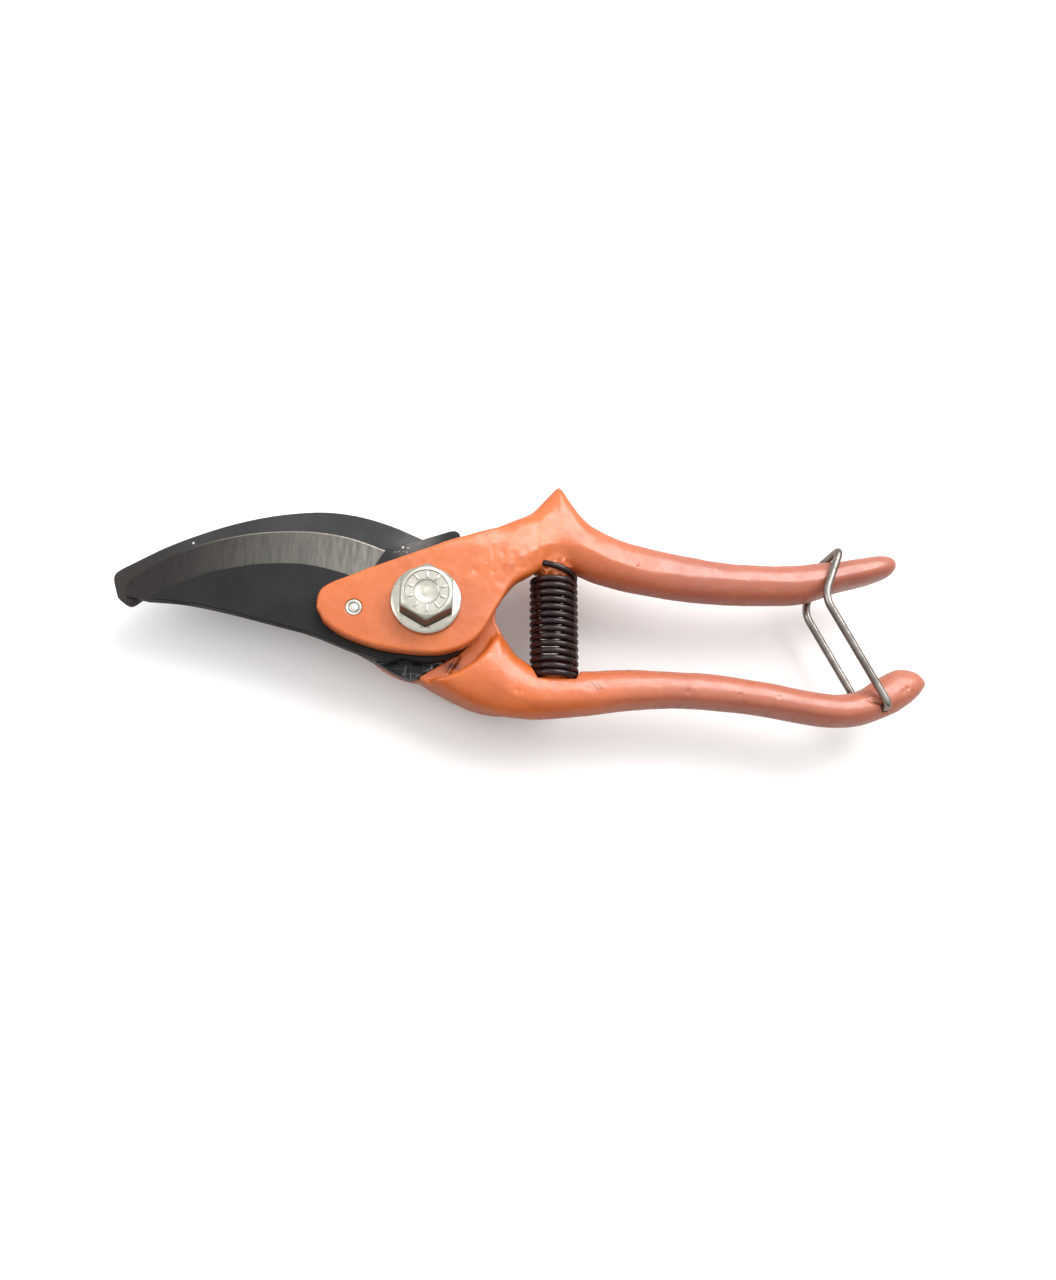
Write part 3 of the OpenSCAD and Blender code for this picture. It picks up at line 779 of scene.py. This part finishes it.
def soup(name, faces, sharp=10):
    """A closed mesh from loose faces: each face is its points in mm and a material index."""
    verts, polys, mats = [], [], []
    for pts, mat in faces:
        polys.append(range(len(verts), len(verts) + len(pts)))
        verts.extend(pts)
        mats.append(mat)
    me = bpy.data.meshes.new(name)
    me.from_pydata([tuple(c * MM for c in v) for v in verts], [], [list(p) for p in polys])
    me.polygons.foreach_set("material_index", mats)
    bm = bmesh.new()
    bm.from_mesh(me)
    bmesh.ops.remove_doubles(bm, verts=bm.verts, dist=2e-7)
    bmesh.ops.dissolve_degenerate(bm, dist=1e-7, edges=bm.edges)
    bmesh.ops.recalc_face_normals(bm, faces=bm.faces)
    bm.to_mesh(me)
    bm.free()
    me.polygons.foreach_set("use_smooth", [len(p.vertices) < 9 for p in me.polygons])
    me.set_sharp_from_angle(angle=math.radians(sharp))
    ob = bpy.data.objects.new(name, me)
    bpy.context.collection.objects.link(ob)
    return ob


def coated(ob, *mats):
    for mat in mats:
        ob.data.materials.append(mat)
    return ob


def strip(a, b, mat=0):
    """Quads between two rows of points with the same count."""
    return [([a[i], a[i + 1], b[i + 1], b[i]], mat) for i in range(len(a) - 1)]


def skin(name, rows, sharp):
    """A closed mesh between neighbouring rows of points."""
    faces = []
    for a, b in zip(rows, rows[1:]):
        faces += strip(a, b)
    return soup(name, faces, sharp)


def lift(pts, z):
    """Flat points raised to height z, which may be one number for each."""
    pts = np.asarray(pts, float)
    return [(p[0], p[1], h) for p, h in zip(pts, np.broadcast_to(z, len(pts)))]


def inset(loop, by):
    """A loop of either direction moved inwards by a distance, which may be one for each point."""
    p = np.asarray(loop, float)
    t = np.roll(p, -1, 0) - np.roll(p, 1, 0)
    t /= np.maximum(np.linalg.norm(t, axis=1), 1e-9)[:, None]
    area = np.sum(p[:, 0] * np.roll(p[:, 1], -1) - np.roll(p[:, 0], -1) * p[:, 1])
    n = np.stack([-t[:, 1], t[:, 0]], 1) * np.sign(area)
    return p + n * np.broadcast_to(by, len(p))[:, None]


def closed(loop):
    return list(loop) + [loop[0]]


def capped(rows):
    """Faces between neighbouring closed loops of points, and over the first and the last."""
    faces = []
    for a, b in zip(rows, rows[1:]):
        faces += strip(closed(a), closed(b))
    return faces + [(rows[0][::-1], 0), (rows[-1], 0)]


def thin_out(points, gap=0.12):
    """Leaves out points closer together than gap."""
    out = [points[0]]
    for p in points[1:]:
        if math.dist(p, out[-1]) > gap:
            out.append(p)
    if math.dist(out[0], out[-1]) < gap:
        out.pop()
    return np.array(out)


# outlines of the two blades, as x, y
COUNTER_HOOK = [(-78, 3.5), (-78.3, 5.6), (-77.2, 7.3), (-73.3, 9.8), (-66, 14.2), (-58.3, 17.9),
                (-50.5, 21), (-42.5, 23.4), (-34.4, 25), (-26.2, 25.7), (-17.8, 24.9),
                (-9.3, 22.6), (-0.8, 19.1)]
COUNTER_CORNER = [(-0.6, -17.9), (-2.4, -18.8), (-4.4, -18.8)]
COUNTER_INNER = [(-22.3, -7.6), (-24.2, -2), (-24.6, 3), (-27.2, 7.6), (-33, 10.6), (-42, 11.6),
                 (-52, 10.2), (-62, 6.6), (-69, 2.2), (-73, -1.1), (-74.7, -1.3), (-76.9, 0.2)]
EDGE = [(-74.6, 0.2), (-75.2, 2.6), (-73.6, 5.4), (-66, 10.9), (-58.5, 14.7), (-50.2, 17.5),
        (-41.2, 19.3), (-30, 19.9), (-20, 18.6), (-10.3, 15.4)]
BEVEL_LINE = [(-69, -0.93), (-66.5, 0.5), (-62, 3.3), (-55.5, 6.4), (-48, 8.4), (-41.2, 9.6),
              (-31, 9.9), (-21.5, 8), (-15.9, 6.0)]
TANG_TOP = [(-9.7, 14.9), (6, 20.8)]
TANG_CORNER = [(7.4, 20.9), (8.4, 20.2), (8.8, 19)]
SPINE = [(-9, -15.2), (-18.2, -12.3), (-28.7, -8.3), (-37.5, -6.1), (-49.4, -3.3), (-60, -1.4),
         (-69, -0.93)]


def make_counter_blade():
    outline = np.vstack([spline(COUNTER_HOOK, 8), arc(TANG_R, 60, -56, 40), spline(COUNTER_CORNER, 5),
                         [(-18.3, -11.3)], spline(COUNTER_INNER, 8)])
    outline, chamfer = thin_out(outline), 0.2
    rows = [lift(inset(outline, chamfer), Z_COUNTER), lift(outline, Z_COUNTER + chamfer),
            lift(outline, Z_SHEAR - chamfer), lift(inset(outline, chamfer), Z_SHEAR)]
    return coated(soup("counter_blade_steel", capped(rows)),
                  oxide("counter_blade_oxide", 0.042, 0.44, True))


def even(curve, n):
    """n points evenly spaced along a curve."""
    s = np.concatenate([[0], np.cumsum(np.linalg.norm(np.diff(curve, axis=0), axis=1))])
    t = np.linspace(0, s[-1], n)
    return np.stack([np.interp(t, s, curve[:, k]) for k in range(curve.shape[1])], 1)


def make_cutting_blade():
    n = 140
    edge = even(spline(EDGE, 16), n)
    line = even(spline(BEVEL_LINE, 16), n)
    rest = np.vstack([TANG_TOP[:1], even(np.array(TANG_TOP), 12)[1:], spline(TANG_CORNER, 5),
                      arc(TANG_R, 19, -110, 50), spline(SPINE, 8)])
    rest = thin_out(np.vstack([edge[-1:], rest]))
    land, tall = 0.25, Z_FRONT - Z_CUT
    faces = []
    # across the bevel: the honed line first, then the ground face, easing into the flat at the top
    steps = [0, 0.035, 0.2, 0.4, 0.6, 0.8, 0.92, 1.0]
    rows = []
    for s in steps:
        flat = edge * (1 - s) + line * s
        ease = s - 0.03 * math.sin(math.pi * min(max((s - 0.8) / 0.2, 0), 1))
        rows.append(lift(flat, Z_CUT + land + (tall - land) * ease))
    for k in range(len(rows) - 1):
        faces += strip(rows[k], rows[k + 1], 2 if k == 0 else 1)
    # edge land, end wall of the bevel and the spine's stretch under the bevel's tip
    faces += strip(lift(edge, Z_CUT), rows[0], 2)
    end = [r[-1] for r in rows]
    faces.append(([*end, (*edge[-1], Z_FRONT)], 0))
    start = [r[0] for r in rows]
    faces.append(([*start, (*line[0], Z_CUT), (*edge[0], Z_CUT)], 0))
    # the tang and spine: wall and chamfer, which fades out at both ends
    m = len(rest)
    c = 0.18 * np.clip(np.minimum(np.arange(m), np.arange(m)[::-1]) / 3, 0, 1)
    whole = np.vstack([rest, line[1:-1]])
    pulled = inset(whole, np.concatenate([c, np.zeros(n - 2)]))[:m]
    faces += strip(lift(rest, Z_CUT), lift(rest, Z_FRONT - c))
    faces += strip(lift(rest, Z_FRONT - c), lift(pulled, Z_FRONT))
    top = np.vstack([pulled, line[1:]])
    faces.append((lift(top, Z_FRONT), 0))
    faces.append((lift(np.vstack([edge, rest[1:]]), Z_CUT)[::-1], 0))
    ob = coated(soup("cutting_blade_steel", faces),
                oxide("cutting_blade_oxide", 0.024, 0.46, False), ground(), honed())
    along = ob.data.attributes.new("along", "FLOAT", "POINT")
    x = np.array([v.co.x for v in ob.data.vertices]) / MM
    along.data.foreach_set("value", np.clip((x + 75) / 62, 0, 1).astype(np.float32))
    return ob


def lathe(name, profile, at=(0, 0), n=96, sharp=28):
    """A closed ring or disc turned about a vertical axis; profile rows are radius, z."""
    a = np.linspace(0, 2 * math.pi, n + 1)
    return skin(name, [[(at[0] + r * math.cos(t), at[1] + r * math.sin(t), z) for t in a]
                       for r, z in profile], sharp)


HEX_AF = 13.0
THREAD_R = 4.0
ROUND = [2 * math.pi * i / 144 for i in range(145)]


def circle(r, z):
    """A ring of points about the pivot."""
    return [(r * math.cos(t), r * math.sin(t), z) for t in ROUND]


def hexagon(z_of, grow=0.0):
    """A ring round the walls of a hexagon whose flats face +-X and whose corners are turned off.

    z_of gives a height for each distance from the pivot to the wall."""
    ring = []
    for t in ROUND:
        k = (t + math.pi / 6) % (math.pi / 3) - math.pi / 6
        r = min(HEX_AF / 2 / math.cos(k), HEX_AF / 2 * 1.135)
        ring.append(((r + grow) * math.cos(t), (r + grow) * math.sin(t), z_of(r)))
    return ring


def make_bolt():
    """M8 flange bolt: plain shank, cone flange, and a hexagon with a shallow dish."""
    z0, fr = Z_FLANGE, 8.95
    zf = z0 + 1.2
    shank = [(0, Z_END), (3.0, Z_END), (3.3, Z_END + 0.15), (THREAD_R, Z_END + 0.9), (THREAD_R, z0)]
    flange = [(fr - 0.35, z0), (fr - 0.1, z0 + 0.12), (fr, z0 + 0.4), (fr, z0 + 0.75),
              (fr - 0.15, z0 + 1.05), (fr - 0.5, zf + 0.02), (7.95, zf + 0.2)]
    rings = [circle(r, z) for r, z in shank + flange]
    # the hexagon's walls, with a hollow curve at their foot
    foot = 0.5
    for grow, up in ((foot, 0.0), (foot * 0.3, foot * 0.3), (0, foot)):
        rings.append(hexagon(lambda r: zf + 0.2 + up, grow))
    top_r = HEX_AF / 2 * 0.955
    for ease, share in ((0.0, 1.0), (0.12, 0.94)):
        rings.append(hexagon(lambda r: Z_HEAD - 0.12 - share * max(r - top_r, 0) * 0.6 + ease, -ease))
    dish = [(top_r, Z_HEAD - 0.05), (top_r - 0.15, Z_HEAD), (5.55, Z_HEAD), (5.35, Z_HEAD - 0.22),
            (3.25, Z_HEAD - 0.26), (2.95, Z_HEAD - 0.5), (2.6, Z_HEAD - 0.62),
            (1.2, Z_HEAD - 0.66), (0, Z_HEAD - 0.66)]
    rings += [circle(r, z) for r, z in dish]
    # the walls and the corner at their foot are dull, and their darker tone is painted shade; the ring
    # round the dish is a little dull and darker
    ob = coated(skin("pivot_bolt_head", rings, 24), plated(),
                plated("dull_shaded_wall_plating", (0.17, 0.155, 0.13), 0.42),
                plated("ring_plating", (0.40, 0.385, 0.34), 0.38))
    for p in ob.data.polygons:
        r = p.center.xy.length / MM
        # faces of the walls and their foot that stand sideways take the dull plating with painted shade
        if abs(p.normal.z) < 0.55 and 6.0 < r < 7.6 and p.center.z > zf * MM:
            p.material_index = 1
        if 3.3 < r < 5.3 and p.center.z > (Z_HEAD - 0.4) * MM:
            p.material_index = 2
    return ob


def make_grade_marks():
    """Ten plain raised dashes with sloped sides, set radially round the dish."""
    count, out, length, width, height = 10, 4.3, 1.4, 0.42, 0.25
    z = Z_HEAD - 0.27
    faces = []
    for i in range(count):
        t = 2 * math.pi * (i + 0.5) / count
        u = np.array([math.cos(t), math.sin(t)])
        v = np.array([-u[1], u[0]])
        rows = []
        for grow, level in ((0.12, z - 0.3), (0.1, z), (0.04, z + height * 0.8), (-0.05, z + height)):
            row = []
            for a, b in ((-1, -1), (1, -1), (1, 1), (-1, 1)):
                q = u * out + u * a * (length / 2 + grow) + v * b * (width / 2 + grow)
                row.append((q[0], q[1], level))
            rows.append(row)
        faces += capped(rows)
    return coated(soup("pivot_bolt_grade_marks", faces, 40), plated("mark_plating"))


def make_rivet(name, at, z_low, z_face, up=1):
    """A flush rivet: peened rim, shallow ring groove and a bright round centre."""
    r = RIVET_R
    p = [(0, z_low), (r - 0.2, z_low), (r, z_low + 0.2 * up), (r, z_face - 0.35 * up),
         (r - 0.12, z_face - 0.06 * up), (r - 0.4, z_face), (r - 0.62, z_face - 0.08 * up),
         (r - 0.85, z_face - 0.55 * up), (1.22, z_face - 0.5 * up), (1.1, z_face - 0.2 * up),
         (0.85, z_face - 0.08 * up), (0, z_face - 0.04 * up)]
    return lathe(name, p, at, 64, 40)


def make_nut():
    """Lock nut: a hexagon with a round collar, which stands open for its nylon ring."""
    z0, z1 = BOX["lock_nut"][:, 2]
    bore = THREAD_R + 0.03
    collar = [(6.05, 1.9), (5.85, 0.6), (5.6, 0.15), (5.3, 0), (5.15, 0.05), (5.05, 0.3), (5.02, 1.8),
              (bore, 1.8)]
    rings = [circle(bore, z1), circle(6.2, z1), hexagon(lambda r: z1 - 0.1 - (r - 6.3) * 0.5),
             hexagon(lambda r: z0 + 2.0 + (r - 6.4) * 0.5)]
    rings += [circle(r, z0 + up) for r, up in collar]
    rings.append(circle(bore, z1))
    return coated(skin("lock_nut_body", rings, 24), plated("nut_plating", (0.50, 0.49, 0.44), 0.3))


def make_nut_ring():
    z0, z1 = BOX["nut_insert"][:, 2]
    p = [(4.02, z0 + 0.15), (4.3, z0), (4.75, z0), (4.95, z0 + 0.12), (5.0, z0 + 0.3), (5.0, z1),
         (4.02, z1), (4.02, z0 + 0.15)]
    return coated(lathe("lock_nut_nylon_ring", p), nylon())


def make_washer():
    z0, z1 = BOX["washer"][:, 2]
    r = BOX["washer"][1][0]
    p = [(4.2, z0 + 0.15), (4.4, z0), (r - 0.45, z0), (r - 0.1, z0 + 0.15), (r, z0 + 0.4), (r, z1 - 0.1),
         (r - 0.1, z1), (4.2, z1), (4.2, z0 + 0.15)]
    return coated(lathe("washer_disc", p), plated("washer_plating", (0.48, 0.47, 0.43), 0.32))


def tube(name, path, r, sides):
    """A round wire along a path, with rounded ends."""
    p = np.asarray(path, float)
    t = np.gradient(p, axis=0)
    t /= np.linalg.norm(t, axis=1)[:, None]
    normal = np.cross(t[0], [0.3, 0.2, 1.0])
    a = np.linspace(0, 2 * math.pi, sides + 1)
    rings = []
    for i in range(len(p)):
        normal = normal - t[i] * (normal @ t[i])
        normal /= np.linalg.norm(normal)
        side = np.cross(t[i], normal)
        rings.append(p[i] + r * (np.cos(a)[:, None] * normal + np.sin(a)[:, None] * side))

    def cap(ring, centre, direction):
        rows = []
        for deg in (35, 62, 90):
            c, s = math.cos(math.radians(deg)), math.sin(math.radians(deg))
            rows.append(centre + (ring - centre) * c + direction * r * s * 0.6)
        return rows

    rings = cap(rings[0], p[0], -t[0])[::-1] + rings + cap(rings[-1], p[-1], t[-1])
    return skin(name, [[tuple(v) for v in ring] for ring in rings], 50)


def make_spring():
    """Fourteen turns between the two handles; the top end runs up in front of the boss."""
    r, wire, turns, per = 5.55, 1.7, 14, 40
    a = np.arange(turns * per + 1) / per
    # the end turns lie closer than the working ones
    ease = np.interp(a, [0, 1, turns - 1, turns], [0, 0.063, 0.937, 1])
    y = SPRING_LOW + (SPRING_HIGH - SPRING_LOW) * ease
    ang = 2 * math.pi * a
    body = np.stack([SPRING_X + r * np.cos(ang), y, Z_MID + r * np.sin(ang)], 1)
    b = np.arange(1, 15) / per
    rise = 3.1 * (b / b[-1]) ** 1.2
    tail = np.stack([SPRING_X + r * np.cos(2 * math.pi * b), SPRING_HIGH + rise,
                     Z_MID + r * np.sin(2 * math.pi * b)], 1)
    return coated(tube("spring_coil", np.vstack([body, tail]), wire / 2, 14), spring_finish())


def fillet(points, radii, n):
    """A path through points whose corners are rounded, each by its own radius."""
    p = [np.array(q, float) for q in points]
    out = [p[0]]
    for i in range(1, len(p) - 1):
        u, v = p[i] - p[i - 1], p[i + 1] - p[i]
        u, v = u / np.linalg.norm(u), v / np.linalg.norm(v)
        turn = math.acos(max(-1, min(1, float(u @ v))))
        r = radii[i - 1]
        d = r * math.tan(turn / 2)
        side = v - u * math.cos(turn)
        side /= np.linalg.norm(side)
        for k in range(n + 1):
            a = turn * k / n
            out.append(p[i] - u * d + u * r * math.sin(a) + side * r * (1 - math.cos(a)))
    out.append(p[-1])
    return np.array(out)


def make_clasp():
    """Bent wire: two kinked legs from the lower tail's hole, and a crossbar over the upper tail."""
    hole, kink, bar = CLASP_AT, (105.8, 5.4), (111.3, 19.0)
    h = 7.35
    path = [(*hole, Z_MID + 2), (*hole, Z_MID + h), (*kink, Z_MID + h), (*bar, Z_MID + h),
            (*bar, Z_MID - h), (*kink, Z_MID - h), (*hole, Z_MID - h), (*hole, Z_MID - 2)]
    path = fillet(path, [1.7, 7.0, 2.6, 2.6, 7.0, 1.7], 10)
    fine = [path[0]]
    for a, b in zip(path, path[1:]):
        k = max(1, int(np.linalg.norm(b - a) / 1.5))
        fine += [a + (b - a) * (i + 1) / k for i in range(k)]
    fine = thin_out([tuple(q) for q in fine], 0.05)
    return coated(tube("wire_clasp_bent", fine, 1.05, 20), wire_finish())


# ---------------- the pruner

def place(ob, body, slot, *nodes):
    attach(ob, body)
    if nodes:
        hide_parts(*nodes)


def build_pruner():
    cast = paint()
    for half, field in (("upper", upper_field()), ("lower", lower_field())):
        node = half + "_handle"
        ob = cast_mesh(node + "_casting", field, BOX[node])
        place(coated(ob, cast), half + "_half", "paint", node)
    place(make_counter_blade(), "lower_half", "blade_steel", "counter_blade")
    place(make_cutting_blade(), "upper_half", "blade_steel", "cutting_blade")
    place(make_bolt(), "lower_half", "plating", "pivot_bolt")
    place(make_grade_marks(), "lower_half", "plating")
    rivet_metal = plated("rivet_plating", (0.60, 0.59, 0.55), 0.26)
    front = make_rivet("front_rivet_peened", FRONT_RIVET, Z_CUT + 0.1, Z_TOP - 0.1)
    rear = make_rivet("rear_rivet_peened", REAR_RIVET, Z_SHEAR - 0.1, Z_REAR + 0.1, -1)
    place(coated(front, rivet_metal), "upper_half", "plating", "front_rivet")
    place(coated(rear, rivet_metal), "lower_half", "plating", "rear_rivet")
    place(make_nut(), "lower_half", "plating", "lock_nut")
    place(make_nut_ring(), "lower_half", "nylon", "nut_insert")
    place(make_washer(), "lower_half", "plating", "washer")
    place(make_clasp(), "clasp", "wire", "wire_clasp")
    spring = make_spring()
    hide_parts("spring")
    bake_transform(spring)


set_camera()
set_stage()
build_pruner()
